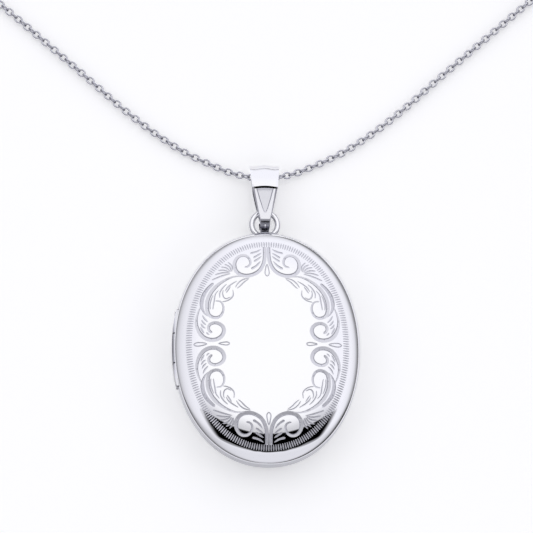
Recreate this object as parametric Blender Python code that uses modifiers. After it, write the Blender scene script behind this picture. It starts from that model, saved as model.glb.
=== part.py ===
"""Oval hinged photo locket on a fine cable chain, lying on its back.

Metres, +Z up. The origin is the centre of the back cover's flat resting face.
+Y points from the locket to its bail and +X away from its hinge.
"""

import math

import bmesh
import bpy
from mathutils import Matrix, Vector

MM = 0.001

# Locket body, in millimetres
HALF_WIDTH = 13.40  # widest half width, at the split between the covers
HALF_LENGTH = 17.25
OVAL_POWER = 2.08  # 2 is an ellipse, and a little more is slightly squarer
SHEET = 0.45  # thickness of the stamped covers
RIM_RADIUS = 1.33  # rounded rim between the dome and the side wall
WALL = 0.70  # straight side wall of each cover
DOME_RISE = 1.30
DOME_POWER = 4.6
FLAT_SHARE = 0.30  # share of the oval that is flat at the dome's centre
SPLIT_Z = DOME_RISE + RIM_RADIUS + WALL
SPLIT_GAP = 0.03
OVAL_SIDES = 60

# Snap collar and the photo frames, as distances in from the widest oval
COLLAR_INSET = (0.48, 0.78)
COLLAR_Z = (2.56, 3.95)
FRAME_INSET = (0.86, 2.50)
FRAME_THICKNESS = 0.50
FRAME_CHAMFER = 0.25
WINDOW_INSET = 1.20
WINDOW_THICKNESS = 0.30
PHOTO_INSET = 1.45
PHOTO_THICKNESS = 0.18
STACK_GAP = 0.03
FRAME_TOP_Z = 2.86  # upper face of the frame in the back half

# Hinge, on the left side, along Y
HINGE_X = -12.83
KNUCKLE_RADIUS = 1.00
KNUCKLE_ENDS = (2.20, 5.70)  # the joins between the knuckles, and the barrel's end
KNUCKLE_GAP = 0.05
KNUCKLE_SIDES = 20
PIN_RADIUS = 0.30
PIN_CLEARANCE = 0.03
PIN_LENGTH = 11.3
KNUCKLE_PROUD = 0.55  # how far the filed knuckles stand out of the oval
NOTCH_CLEARANCE = 0.06

# Ring on the top edge, and the folded bail that hangs on it
RING_Y = 18.99
RING_Z = 2.50
RING_RADIUS = 1.85  # to the middle of the wire
RING_WIRE = 0.40
BAIL_SHEET = 0.40
BAIL_SIDE = (  # the band's middle line (y, z) and its width, round the loop from its lowest point
    (18.05, 2.40, 1.40),
    (18.45, 3.35, 1.45),
    (19.45, 3.82, 1.55),
    (20.60, 3.92, 2.25),
    (22.40, 4.02, 2.85),
    (24.25, 4.10, 3.50),
    (25.45, 3.75, 3.85),
    (26.60, 3.20, 4.15),
    (27.35, 2.45, 4.25),
    (27.55, 1.55, 4.25),
    (27.20, 0.65, 4.20),
    (26.30, 0.28, 4.05),
    (24.40, 0.27, 3.50),
    (22.40, 0.40, 2.85),
    (20.60, 0.72, 2.25),
    (19.45, 0.98, 1.55),
    (18.45, 1.45, 1.45),
)

# Chain. Its links are 1.12 mm wide, and these solids are their outer shape
CHAIN_RADIUS = 0.56
CHAIN_REST_Z = 0.60  # height of the middle of a link that lies on the surface
CHAIN_IN_BAIL = 2.50  # half length of the stretch that the bail carries
CHAIN_STEP = 2.6  # spacing of the points along the tubes
JOIN_GAP = 0.30
CHAIN_ROUTE = (  # right half, from the bail to the coil (x, y, z), and the left half mirrors it
    (0.0, 26.45, 1.13),
    (1.6, 26.52, 1.13),
    (3.2, 26.88, 0.95),
    (4.8, 27.40, 0.66),
    (6.3, 28.02, 0.60),
    (9.3, 29.38, 0.60),
    (12.3, 31.00, 0.60),
    (16.2, 33.70, 0.60),
    (20.5, 37.20, 0.60),
    (25.8, 42.00, 0.60),
    (31.1, 46.70, 0.60),
    (35.1, 50.25, 0.60),
    (37.8, 52.60, 0.60),
    (40.4, 54.85, 0.60),
)
COIL_CENTRE = (38.4, 63.5)
COIL_RADII = (3.36, 8.48)
COIL_Z = (0.04, 2.32)
COIL_BEVEL = 0.45
TAIL_ROUTE = (  # from the top of the coil down to the end pieces
    (30.8, 68.40, 1.25),
    (29.8, 68.37, 0.88),
    (28.8, 68.30, 0.65),
    (27.7, 68.20, 0.60),
    (26.6, 68.10, 0.60),
)

# End pieces of the chain
END_RING_RADIUS = 1.50
END_RING_WIRE = 0.25
END_RING_AT = (24.6, 68.0, 1.80)
CLASP_EYE_AT = (23.3, 67.8)
CLASP_TURN = 187.0  # degrees, the direction from the eye to the hook
CLASP_Z = 0.92
CLASP_THICKNESS = 1.70
SLOT_THICKNESS = 0.80
SLOT_CORNERS = ((1.5, -1.15), (5.2, 4.0))
LEVER_THICKNESS = 0.64
EYE_RADIUS = 1.05
EYE_WIRE = 0.36
RIVET_AT = (3.2, 0.55)  # in the clasp's own axes, from its eye
RIVET_RADIUS = 0.30
CLASP_OUTLINE = (
    (0.90, -0.75),
    (2.60, -1.75),
    (5.00, -2.25),
    (7.60, -2.00),
    (9.20, -0.70),
    (9.35, 0.90),
    (8.40, 2.05),
    (7.18, 2.30),
    (7.14, 1.45),
    (8.00, 0.90),
    (8.15, -0.10),
    (7.40, -0.95),
    (6.00, -1.10),
    (5.00, -0.55),
    (4.70, 0.50),
    (4.35, 1.50),
    (3.20, 1.85),
    (1.60, 1.30),
    (0.90, 0.75),
)
LEVER_OUTLINE = (
    (2.55, 0.20),
    (3.20, -0.10),
    (4.00, 0.55),
    (5.20, 1.25),
    (6.85, 1.50),
    (6.85, 1.95),
    (5.20, 2.10),
    (4.20, 2.30),
    (3.30, 3.00),
    (2.90, 2.90),
    (3.05, 2.10),
    (2.65, 1.10),
)
SPRING_LINE = ((1.75, -0.75), (2.40, -0.95), (3.10, -0.85), (3.80, -0.55))
SPRING_WIRE = 0.09

SILVER = (0.90, 0.90, 0.92, 1.0)
SILVER_ROUGHNESS = 0.06
PAPER = (0.93, 0.92, 0.89, 1.0)
CLEAR = (0.95, 0.97, 0.98, 0.35)


def clear_scene():
    for obj in list(bpy.data.objects):
        bpy.data.objects.remove(obj, do_unlink=True)


def new_collection(name):
    made = bpy.data.collections.new(name)
    bpy.context.scene.collection.children.link(made)
    return made


def new_material(name, colour, roughness, metallic):
    made = bpy.data.materials.new(name)
    made.use_nodes = True
    shader = made.node_tree.nodes["Principled BSDF"]
    shader.inputs["Base Color"].default_value = colour
    shader.inputs["Roughness"].default_value = roughness
    shader.inputs["Metallic"].default_value = metallic
    shader.inputs["Alpha"].default_value = colour[3]
    made.diffuse_color = colour
    return made


def object_of(name, mesh, collection, colour=SILVER, roughness=SILVER_ROUGHNESS, metallic=1.0):
    obj = bpy.data.objects.new(name, mesh)
    mesh.materials.append(new_material(name, colour, roughness, metallic))
    collection.objects.link(obj)
    return obj


def mesh_from(bm, name):
    """The bmesh as a mesh in metres, facing out and shaded smooth between its sharp edges."""
    bmesh.ops.recalc_face_normals(bm, faces=bm.faces)
    bmesh.ops.scale(bm, vec=(MM, MM, MM), verts=bm.verts)
    mesh = bpy.data.meshes.new(name)
    bm.to_mesh(mesh)
    bm.free()
    mesh.shade_smooth()
    mesh.set_sharp_from_angle(angle=math.radians(35))
    return mesh


def oval_point(angle, half_width, half_length):
    c, s = math.cos(angle), math.sin(angle)
    power = 2 / OVAL_POWER
    x = half_width * math.copysign(abs(c) ** power, c)
    y = half_length * math.copysign(abs(s) ** power, s)
    return x, y


def inset_oval(inset, z):
    """One section of an oval piece: its half width, half length and height."""
    return HALF_WIDTH - inset, HALF_LENGTH - inset, z


def dome_oval(share, z):
    """A section inside the rim, at a share of the way from the centre to the rim's inner edge."""
    return share * (HALF_WIDTH - RIM_RADIUS), share * (HALF_LENGTH - RIM_RADIUS), z


def dome_height(share):
    return DOME_RISE * (max(share, FLAT_SHARE) ** DOME_POWER - FLAT_SHARE**DOME_POWER)


def oval_loft(name, sections, closed):
    """A solid through oval sections. A closed one is a ring, and an open one has flat faces at its ends."""
    bm = bmesh.new()
    rings = []
    for half_width, half_length, z in sections:
        ring = []
        for i in range(OVAL_SIDES):
            x, y = oval_point(2 * math.pi * i / OVAL_SIDES, half_width, half_length)
            ring.append(bm.verts.new((x, y, z)))
        rings.append(ring)
    pairs = list(zip(rings, rings[1:]))
    if closed:
        pairs.append((rings[-1], rings[0]))
    else:
        bm.faces.new(rings[0])
        bm.faces.new(rings[-1])
    for lower, upper in pairs:
        for i in range(OVAL_SIDES):
            j = (i + 1) % OVAL_SIDES
            bm.faces.new((lower[i], lower[j], upper[j], upper[i]))
    return mesh_from(bm, name)


def cover_sections():
    """Sections of the back cover, from the middle of its outside, over its lip, to the middle of its inside."""
    made = []
    for share in (FLAT_SHARE, 0.55, 0.72, 0.84, 0.93, 1.0):
        made.append(dome_oval(share, dome_height(share)))
    centre_z = dome_height(1.0) + RIM_RADIUS
    for turn in (22.5, 45, 67.5, 90):
        along = math.radians(turn)
        inset = RIM_RADIUS * (1 - math.sin(along))
        made.append(inset_oval(inset, centre_z - RIM_RADIUS * math.cos(along)))
    made.append(inset_oval(0, SPLIT_Z - SPLIT_GAP / 2))
    made.append(inset_oval(SHEET, SPLIT_Z - SPLIT_GAP / 2))
    inner_radius = RIM_RADIUS - SHEET
    for turn in (90, 45, 0):
        along = math.radians(turn)
        inset = RIM_RADIUS - inner_radius * math.sin(along)
        made.append(inset_oval(inset, centre_z - inner_radius * math.cos(along)))
    for share in (0.84, 0.6, FLAT_SHARE):
        made.append(dome_oval(share, SHEET + dome_height(share)))
    return made


def over_split(sections):
    """The same sections, mirrored about the split between the covers."""
    return [(half_width, half_length, 2 * SPLIT_Z - z) for half_width, half_length, z in sections]


def slab_sections(inset, low, thickness):
    return [inset_oval(inset, low), inset_oval(inset, low + thickness)]


def frame_sections():
    """The photo frame in the back half: a flat ring with a chamfered opening."""
    outer, inner = FRAME_INSET
    low = FRAME_TOP_Z - FRAME_THICKNESS
    return [
        inset_oval(inner, low),
        inset_oval(outer, low),
        inset_oval(outer, FRAME_TOP_Z),
        inset_oval(inner - FRAME_CHAMFER, FRAME_TOP_Z),
        inset_oval(inner, FRAME_TOP_Z - FRAME_CHAMFER),
    ]


def collar_sections():
    outer, inner = COLLAR_INSET
    low, high = COLLAR_Z
    return [inset_oval(inner, low), inset_oval(outer, low), inset_oval(outer, high), inset_oval(inner, high)]


def cylinder_mesh(name, radius, length, sides, matrix):
    """A cylinder along its own Z, moved by the matrix, in millimetres."""
    bm = bmesh.new()
    bmesh.ops.create_cone(
        bm, cap_ends=True, segments=sides, radius1=radius, radius2=radius, depth=length, matrix=matrix
    )
    return mesh_from(bm, name)


def box_mesh(name, low, high):
    bm = bmesh.new()
    size = Vector(high) - Vector(low)
    middle = (Vector(high) + Vector(low)) / 2
    bmesh.ops.create_cube(bm, size=1.0, matrix=Matrix.Translation(middle) @ Matrix.Diagonal((*size, 1.0)))
    return mesh_from(bm, name)


def torus_mesh(name, radius, wire, matrix, around=24, across=10):
    """A ring of round wire: a circle turned about its own Z, then moved by the matrix."""
    bm = bmesh.new()
    section = bmesh.ops.create_circle(bm, cap_ends=False, segments=across, radius=wire)["verts"]
    stand = Matrix.Translation((radius, 0, 0)) @ Matrix.Rotation(math.radians(90), 4, "X")
    bmesh.ops.transform(bm, matrix=stand, verts=section)
    bmesh.ops.spin(
        bm,
        geom=bm.verts[:] + bm.edges[:],
        axis=(0, 0, 1),
        cent=(0, 0, 0),
        angle=2 * math.pi,
        steps=around,
        use_merge=True,
    )
    bmesh.ops.remove_doubles(bm, verts=bm.verts, dist=1e-5)
    bmesh.ops.transform(bm, matrix=matrix, verts=bm.verts)
    return mesh_from(bm, name)


def smooth_line(points, steps, closed=False):
    """Points along a Catmull-Rom curve through these points, with this many steps between each two."""
    knots = [Vector(p) for p in points]
    if closed:
        knots = [knots[-1], *knots, knots[0], knots[1]]
    else:
        knots = [2 * knots[0] - knots[1], *knots, 2 * knots[-1] - knots[-2]]
    made = []
    for a, b, c, d in zip(knots, knots[1:], knots[2:], knots[3:]):
        for i in range(steps):
            t = i / steps
            near = 2 * b + (c - a) * t + (2 * a - 5 * b + 4 * c - d) * t * t
            made.append((near + (3 * b - a - 3 * c + d) * t**3) / 2)
    if not closed:
        made.append(knots[-2])
    return made


def evenly_spaced(line, step):
    """Points about this far apart along a line of many short pieces."""
    lengths = [0.0]
    for a, b in zip(line, line[1:]):
        lengths.append(lengths[-1] + (b - a).length)
    count = max(2, round(lengths[-1] / step))
    made = []
    k = 0
    for i in range(count + 1):
        at = lengths[-1] * i / count
        while k < len(line) - 2 and lengths[k + 1] < at:
            k += 1
        share = (at - lengths[k]) / (lengths[k + 1] - lengths[k])
        made.append(line[k].lerp(line[k + 1], min(share, 1.0)))
    return made


def outline_mesh(name, outline, thickness, steps, matrix):
    """A flat plate with a smooth outline, extruded both ways from its own XY plane."""
    curve = bpy.data.curves.new(name, "CURVE")
    curve.dimensions = "2D"
    curve.fill_mode = "BOTH"
    curve.extrude = thickness / 2
    spline = curve.splines.new("POLY")
    line = smooth_line([(x, y, 0) for x, y in outline], steps, closed=True)
    spline.points.add(len(line) - 1)
    for point, place in zip(spline.points, line):
        point.co = (*place, 1)
    spline.use_cyclic_u = True
    return solid_of_curve(name, curve, matrix)


def solid_of_curve(name, curve, matrix):
    """The curve's evaluated mesh, welded, moved by the matrix in millimetres."""
    temporary = bpy.data.objects.new(name, curve)
    bpy.context.scene.collection.objects.link(temporary)
    bpy.context.view_layer.update()
    graph = bpy.context.evaluated_depsgraph_get()
    found = bpy.data.meshes.new_from_object(temporary.evaluated_get(graph))
    bm = bmesh.new()
    bm.from_mesh(found)
    bpy.data.objects.remove(temporary)
    bpy.data.meshes.remove(found)
    bpy.data.curves.remove(curve)
    bmesh.ops.remove_doubles(bm, verts=bm.verts, dist=1e-4)
    bmesh.ops.transform(bm, matrix=matrix, verts=bm.verts)
    return mesh_from(bm, name)


def tube_object(name, points, radius, collection, colour=SILVER, roughness=SILVER_ROUGHNESS):
    """A round tube along these points, as a bevelled curve with filled caps."""
    curve = bpy.data.curves.new(name, "CURVE")
    curve.dimensions = "3D"
    curve.bevel_depth = radius * MM
    curve.bevel_resolution = 2
    curve.use_fill_caps = True
    spline = curve.splines.new("POLY")
    spline.points.add(len(points) - 1)
    for point, place in zip(spline.points, points):
        point.co = (*(place * MM), 1)
    curve.materials.append(new_material(name, colour, roughness, 1.0))
    obj = bpy.data.objects.new(name, curve)
    collection.objects.link(obj)
    return obj


def cutter_of(name, mesh, cutters):
    obj = bpy.data.objects.new(name, mesh)
    obj.hide_render = True
    obj.display_type = "WIRE"
    cutters.objects.link(obj)
    return obj


def boolean(obj, other, operation):
    modifier = obj.modifiers.new(other.name, "BOOLEAN")
    modifier.operation = operation
    modifier.solver = "EXACT"
    modifier.object = other


def origin_to(obj, place, parent_name, collection):
    """Parents the object to an empty on its joint's axis, without moving it."""
    empty = bpy.data.objects.get(parent_name)
    if empty is None:
        empty = bpy.data.objects.new(parent_name, None)
        empty.location = Vector(place) * MM
        collection.objects.link(empty)
        bpy.context.view_layer.update()
    obj.parent = empty
    obj.matrix_parent_inverse = empty.matrix_world.inverted()


def along_y(x, y, z):
    """Turns a cylinder along Z to lie along Y, at a place."""
    return Matrix.Translation((x, y, z)) @ Matrix.Rotation(math.radians(90), 4, "X")


def make_covers(parts, notch):
    back = object_of("back_shell", oval_loft("back_shell", cover_sections(), closed=False), parts)
    front_mesh = oval_loft("front_cover", over_split(cover_sections()), closed=False)
    front = object_of("front_cover", front_mesh, parts)
    collar = object_of("snap_collar", oval_loft("snap_collar", collar_sections(), closed=True), parts)
    for obj in (back, front, collar):
        boolean(obj, notch, "DIFFERENCE")
    return front


def make_photo_stack(parts, notch):
    """Frame, window and photo of each half. Returns those of the front half."""
    window_z = FRAME_TOP_Z - FRAME_THICKNESS - STACK_GAP - WINDOW_THICKNESS
    photo_z = window_z - STACK_GAP - PHOTO_THICKNESS
    sheets = {
        "window": (slab_sections(WINDOW_INSET, window_z, WINDOW_THICKNESS), CLEAR, 0.05, 0.0),
        "photo": (slab_sections(PHOTO_INSET, photo_z, PHOTO_THICKNESS), PAPER, 0.6, 0.0),
    }
    front_half = []
    for half in ("back", "front"):
        turn = over_split if half == "front" else list
        name = half + "_photo_frame"
        made = object_of(name, oval_loft(name, turn(frame_sections()), closed=True), parts)
        boolean(made, notch, "DIFFERENCE")
        stack = [made]
        for kind, (sections, colour, roughness, metallic) in sheets.items():
            name = half + "_" + kind
            mesh = oval_loft(name, turn(sections), closed=False)
            stack.append(object_of(name, mesh, parts, colour, roughness, metallic))
        if half == "front":
            front_half = stack
    return front_half


def make_hinge(parts, cutters):
    """Three knuckles on one pin. The outer two are filed to follow the oval. Returns the middle one."""
    bore_radius = PIN_RADIUS + PIN_CLEARANCE
    bore_mesh = cylinder_mesh("pin_bore", bore_radius, 14, 12, along_y(HINGE_X, 0, SPLIT_Z))
    bore = cutter_of("pin_bore", bore_mesh, cutters)
    filed = [inset_oval(-KNUCKLE_PROUD, SPLIT_Z - 3), inset_oval(-KNUCKLE_PROUD, SPLIT_Z + 3)]
    filing = cutter_of("knuckle_filing", oval_loft("knuckle_filing", filed, closed=False), cutters)
    inner, outer = KNUCKLE_ENDS
    spans = {
        "hinge_knuckle_lower": (-outer, -inner - KNUCKLE_GAP / 2),
        "hinge_knuckle_middle": (-inner + KNUCKLE_GAP / 2, inner - KNUCKLE_GAP / 2),
        "hinge_knuckle_upper": (inner + KNUCKLE_GAP / 2, outer),
    }
    made = {}
    for name, (low, high) in spans.items():
        place = along_y(HINGE_X, (low + high) / 2, SPLIT_Z)
        mesh = cylinder_mesh(name, KNUCKLE_RADIUS, high - low, KNUCKLE_SIDES, place)
        made[name] = object_of(name, mesh, parts)
        boolean(made[name], bore, "DIFFERENCE")
        if name != "hinge_knuckle_middle":
            boolean(made[name], filing, "INTERSECT")
    pin = cylinder_mesh("hinge_pin", PIN_RADIUS, PIN_LENGTH, 12, along_y(HINGE_X, 0, SPLIT_Z))
    object_of("hinge_pin", pin, parts)
    return made["hinge_knuckle_middle"]


def make_ring(parts, cutters):
    """The ring on the locket's top edge, its foot shaped to the edge."""
    place = Matrix.Translation((0, RING_Y, RING_Z))
    ring = object_of("locket_ring", torus_mesh("locket_ring", RING_RADIUS, RING_WIRE, place, 28), parts)
    seat = [inset_oval(-STACK_GAP, 0.5), inset_oval(-STACK_GAP, 2 * SPLIT_Z)]
    boolean(ring, cutter_of("ring_seat", oval_loft("ring_seat", seat, closed=False), cutters), "DIFFERENCE")


def make_bail(parts):
    """A tapered band folded into a closed loop: four corners at each station of its side line."""
    line = smooth_line(BAIL_SIDE, 2, closed=True)
    bm = bmesh.new()
    stations = []
    for i, (y, z, width) in enumerate(line):
        ahead, behind = line[(i + 1) % len(line)], line[i - 1]
        along = Vector((0, ahead[0] - behind[0], ahead[1] - behind[1])).normalized()
        across = Vector((0, -along.z, along.y)) * BAIL_SHEET / 2
        middle, side = Vector((0, y, z)), Vector((width / 2, 0, 0))
        corners = (middle - side - across, middle + side - across, middle + side + across, middle - side + across)
        stations.append([bm.verts.new(corner) for corner in corners])
    for i, lower in enumerate(stations):
        upper = stations[(i + 1) % len(stations)]
        for k in range(4):
            n = (k + 1) % 4
            bm.faces.new((lower[k], lower[n], upper[n], upper[k]))
    return object_of("bail", mesh_from(bm, "bail"), parts)


def mirrored(points):
    return [Vector((-p[0], p[1], p[2])) for p in points]


def chain_line():
    """The right half of the chain's middle line, from the bail's centre to the coil, in short steps."""
    return smooth_line(CHAIN_ROUTE, 12)


def make_chain(parts):
    """The chain's outer shape: a stretch inside the bail, then on each side a tube, a coil and a tail."""
    line = chain_line()
    held = [p for p in line if p.x < CHAIN_IN_BAIL]
    free = [p for p in line if p.x > CHAIN_IN_BAIL + JOIN_GAP]
    middle = [*reversed(mirrored(held[1:])), *held]
    tube_object("chain_middle", evenly_spaced(middle, 1.25), CHAIN_RADIUS, parts)
    tail = smooth_line(TAIL_ROUTE, 8)
    for side in ("left", "right"):
        turn = mirrored if side == "left" else list
        sign = -1 if side == "left" else 1
        tube_object(f"chain_{side}", evenly_spaced(turn(free), CHAIN_STEP), CHAIN_RADIUS, parts)
        tube_object(f"chain_tail_{side}", evenly_spaced(turn(tail), 1.3), CHAIN_RADIUS, parts)
        make_coil(f"chain_coil_{side}", sign, parts)


def make_coil(name, sign, parts):
    """One turned ring with bevelled edges round a coil of chain: a profile turned by a Screw modifier."""
    (inner, outer), (low, high) = COIL_RADII, COIL_Z
    bevel = COIL_BEVEL
    profile = (
        (outer - bevel, high),
        (outer, high - bevel),
        (outer, low + bevel),
        (outer - bevel, low),
        (inner + bevel, low),
        (inner, low + bevel),
        (inner, high - bevel),
        (inner + bevel, high),
    )
    bm = bmesh.new()
    verts = [bm.verts.new((r, 0, z)) for r, z in profile]
    for i, vert in enumerate(verts):
        bm.edges.new((vert, verts[(i + 1) % len(verts)]))
    bmesh.ops.scale(bm, vec=(MM, MM, MM), verts=bm.verts)
    mesh = bpy.data.meshes.new(name)
    bm.to_mesh(mesh)
    bm.free()
    coil = object_of(name, mesh, parts)
    coil.location = Vector((sign * COIL_CENTRE[0], COIL_CENTRE[1], 0)) * MM
    screw = coil.modifiers.new("turn", "SCREW")
    screw.steps = 32
    screw.render_steps = 32
    screw.use_merge_vertices = True
    screw.merge_threshold = 1e-6


def make_end_rings(parts):
    """The ring at each end of the chain, standing on edge through the chain's last link."""
    for name, sign in (("end_ring", -1), ("clasp_ring", 1)):
        x, y, z = END_RING_AT
        place = Matrix.Translation((sign * x, y, z)) @ Matrix.Rotation(math.radians(90), 4, "X")
        object_of(name, torus_mesh(name, END_RING_RADIUS, END_RING_WIRE, place, 20, 8), parts)


def make_clasp(parts, cutters):
    """Lobster clasp: a claw with an eye, and a sprung lever on a rivet in the claw's slot."""
    place = Matrix.Translation((*CLASP_EYE_AT, CLASP_Z)) @ Matrix.Rotation(math.radians(CLASP_TURN), 4, "Z")
    claw = object_of(
        "clasp_body", outline_mesh("clasp_body", CLASP_OUTLINE, CLASP_THICKNESS, 3, place), parts
    )
    eye_mesh = torus_mesh("clasp_eye", EYE_RADIUS, EYE_WIRE, place, 16, 8)
    boolean(claw, cutter_of("clasp_eye", eye_mesh, cutters), "UNION")
    (left, low), (right, high) = SLOT_CORNERS
    slot_mesh = box_mesh("lever_slot", (left, low, -SLOT_THICKNESS / 2), (right, high, SLOT_THICKNESS / 2))
    slot_mesh.transform(scaled_place(place))
    boolean(claw, cutter_of("lever_slot", slot_mesh, cutters), "DIFFERENCE")
    rivet_place = place @ Matrix.Translation((*RIVET_AT, 0))
    hole_mesh = cylinder_mesh("rivet_hole", RIVET_RADIUS + PIN_CLEARANCE, 4, 12, rivet_place)
    hole = cutter_of("rivet_hole", hole_mesh, cutters)
    boolean(claw, hole, "DIFFERENCE")
    lever = object_of(
        "clasp_lever", outline_mesh("clasp_lever", LEVER_OUTLINE, LEVER_THICKNESS, 2, place), parts
    )
    boolean(lever, hole, "DIFFERENCE")
    rivet = cylinder_mesh("clasp_rivet", RIVET_RADIUS, CLASP_THICKNESS, 12, rivet_place)
    object_of("clasp_rivet", rivet, parts)
    spring = [place @ Vector((x, y, 0)) for x, y in SPRING_LINE]
    tube_object("clasp_spring", smooth_line(spring, 2), SPRING_WIRE, parts)
    return lever, rivet_place.translation


def scaled_place(matrix):
    """The same move for a mesh that is already in metres."""
    made = matrix.copy()
    made.translation = matrix.translation * MM
    return made


def main():
    clear_scene()
    parts = new_collection("locket")
    cutters = new_collection("cutters")
    notch_right = HINGE_X + KNUCKLE_RADIUS + NOTCH_CLEARANCE
    notch_reach = KNUCKLE_RADIUS + NOTCH_CLEARANCE
    notch_end = KNUCKLE_ENDS[1] + NOTCH_CLEARANCE
    notch_mesh = box_mesh(
        "hinge_notch",
        (-HALF_WIDTH - 2, -notch_end, SPLIT_Z - notch_reach),
        (notch_right, notch_end, SPLIT_Z + notch_reach),
    )
    notch = cutter_of("hinge_notch", notch_mesh, cutters)
    front = make_covers(parts, notch)
    front_stack = make_photo_stack(parts, notch)
    knuckle = make_hinge(parts, cutters)
    for obj in (front, knuckle, *front_stack):
        origin_to(obj, (HINGE_X, 0, SPLIT_Z), "cover_hinge_axis", parts)
    make_ring(parts, cutters)
    bail = make_bail(parts)
    origin_to(bail, (0, RING_Y + RING_RADIUS, RING_Z), "bail_axis", parts)
    make_chain(parts)
    origin_to(bpy.data.objects["chain_middle"], (0, RING_Y + RING_RADIUS, RING_Z), "bail_axis", parts)
    make_end_rings(parts)
    lever, rivet_at = make_clasp(parts, cutters)
    origin_to(lever, rivet_at, "clasp_lever_axis", parts)


main()
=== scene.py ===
"""Looks of the oval photo locket: engraved covers, hinge, photo frames, bail, linked chain and clasp.

Lengths are in millimetres and are scaled to metres where a mesh is made. The frame is the CAD's.
"""

import random
from functools import partial
from math import copysign, cos, pi, radians, sin, sqrt, tan

import bmesh
import bpy
import numpy as np
from mathutils import Matrix, Vector, geometry


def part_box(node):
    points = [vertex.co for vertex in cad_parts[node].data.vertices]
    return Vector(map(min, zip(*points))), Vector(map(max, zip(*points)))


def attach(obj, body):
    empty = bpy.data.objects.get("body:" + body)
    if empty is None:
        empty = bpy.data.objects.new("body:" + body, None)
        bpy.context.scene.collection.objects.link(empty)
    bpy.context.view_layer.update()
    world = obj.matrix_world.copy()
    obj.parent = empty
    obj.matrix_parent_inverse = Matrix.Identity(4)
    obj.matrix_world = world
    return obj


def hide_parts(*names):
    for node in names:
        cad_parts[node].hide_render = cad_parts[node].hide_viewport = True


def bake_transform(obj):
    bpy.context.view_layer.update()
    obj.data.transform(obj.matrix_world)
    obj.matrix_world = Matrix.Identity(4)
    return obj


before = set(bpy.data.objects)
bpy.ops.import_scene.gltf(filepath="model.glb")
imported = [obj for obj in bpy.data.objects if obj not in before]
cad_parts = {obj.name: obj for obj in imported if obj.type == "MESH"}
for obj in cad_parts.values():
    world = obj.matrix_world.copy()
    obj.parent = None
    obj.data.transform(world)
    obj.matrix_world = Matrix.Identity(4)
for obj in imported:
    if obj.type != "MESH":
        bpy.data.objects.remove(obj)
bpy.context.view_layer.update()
MM = 0.001


def cad_box(node):
    """A node's lowest and highest corners, in millimetres."""
    low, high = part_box(node)
    return [v / MM for v in low], [v / MM for v in high]


# Sizes of the locket body, as in the CAD
FRONT_LOW, FRONT_HIGH = cad_box("front_cover")
BACK_TOP_Z = cad_box("back_shell")[1][2]
HALF_WIDTH = FRONT_HIGH[0]
HALF_LENGTH = FRONT_HIGH[1]
TOP_Z = FRONT_HIGH[2]
SPLIT_Z = TOP_Z / 2
SPLIT_GAP = FRONT_LOW[2] - BACK_TOP_Z
OVAL_POWER = 2.08
SHEET = 0.45
RIM_RADIUS = 1.33
DOME_RISE = 1.30
DOME_POWER = 4.6
LIP_BREAK = 0.10  # rounding of the covers' lips
RIM_START = 24.0  # the rim's slope where the dome ends
CREASE_Z = TOP_Z - DOME_RISE
CREASE_INSET = 1.60
CREASE_X = HALF_WIDTH - CREASE_INSET
CREASE_Y = HALF_LENGTH - CREASE_INSET
OVAL_SIDES = 200

# Hinge
HINGE_X = -12.83
KNUCKLE_RADIUS = 1.00
KNUCKLE_ENDS = (2.20, 5.70)
KNUCKLE_GAP = 0.05
KNUCKLE_EDGE = 0.08  # rounding of the knuckles' ends
KNUCKLE_PROUD = 0.20
PIN_RADIUS = 0.30
PIN_DOME = 0.12
PIN_END_SHARE = 0.55  # the flat on the pin's domed end, as a share of its radius
PIN_CLEARANCE = 0.03
NOTCH_CLEARANCE = 0.06

# Chain
LINK_PITCH = 0.87
LINK_WIRE = 0.28
LINK_LENGTH = 1.34
LINK_WIDTH = 1.16
LINK_SIDES = 14
LINK_POWER = 0.86  # under 1, the link is squarer than an ellipse
LINK_TWIST = 6  # each link leans up to this many degrees out of its quarter turn
WIRE_SIDES = 7
CHAIN_ROUTE = (  # right half, from the bail to the coil, as in the CAD
    (0.0, 26.45, 1.13), (1.6, 26.52, 1.13), (3.2, 26.88, 0.95), (4.8, 27.40, 0.66), (6.3, 28.02, 0.60),
    (9.3, 29.38, 0.60), (12.3, 31.00, 0.60), (16.2, 33.70, 0.60), (20.5, 37.20, 0.60),
    (25.8, 42.00, 0.60), (31.1, 46.70, 0.60), (35.1, 50.25, 0.60), (37.8, 52.60, 0.60),
    (40.4, 54.85, 0.60),
)
TAIL_ROUTE = (  # from the coil to the ring at the chain's end
    (36.0, 68.46, 1.73), (33.6, 68.47, 1.72), (31.8, 68.44, 1.52), (30.8, 68.40, 1.22),
    (29.8, 68.37, 0.88), (28.8, 68.30, 0.65), (27.7, 68.20, 0.60), (26.6, 68.10, 0.60),
)
COIL_CENTRE = (38.4, 63.5)
COIL_ENTRY_ANGLE = -49.5
COIL_OUTER = 7.9
COIL_INNER = 3.95
COIL_LOWER_TURNS = 3.5
COIL_UPPER_TURNS = 0.8875
COIL_TURN_STEPS = 24
CHAIN_REST_Z = 0.60
LAYER_RISE = 1.13
CLIMB_TURNS = 0.25

# Camera: far away, a little below the locket's upright and a little to its left
VIEW_TILT = 16.5
VIEW_TURN = 3.9
VIEW_ROLL = 0.7
VIEW_FIELD = 76.8  # width of the picture where it meets the floor
VIEW_AIM = (0.36, 13.47, 0.0)
LENS = 500.0
SENSOR = 36.0


# ---- helpers


def linked(name, data):
    """A new object of the scene that holds this data."""
    obj = bpy.data.objects.new(name, data)
    bpy.context.scene.collection.objects.link(obj)
    return obj


def new_mesh_object(name, mesh, *materials):
    obj = linked(name, mesh)
    for material in materials:
        mesh.materials.append(material)
    return obj


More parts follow.
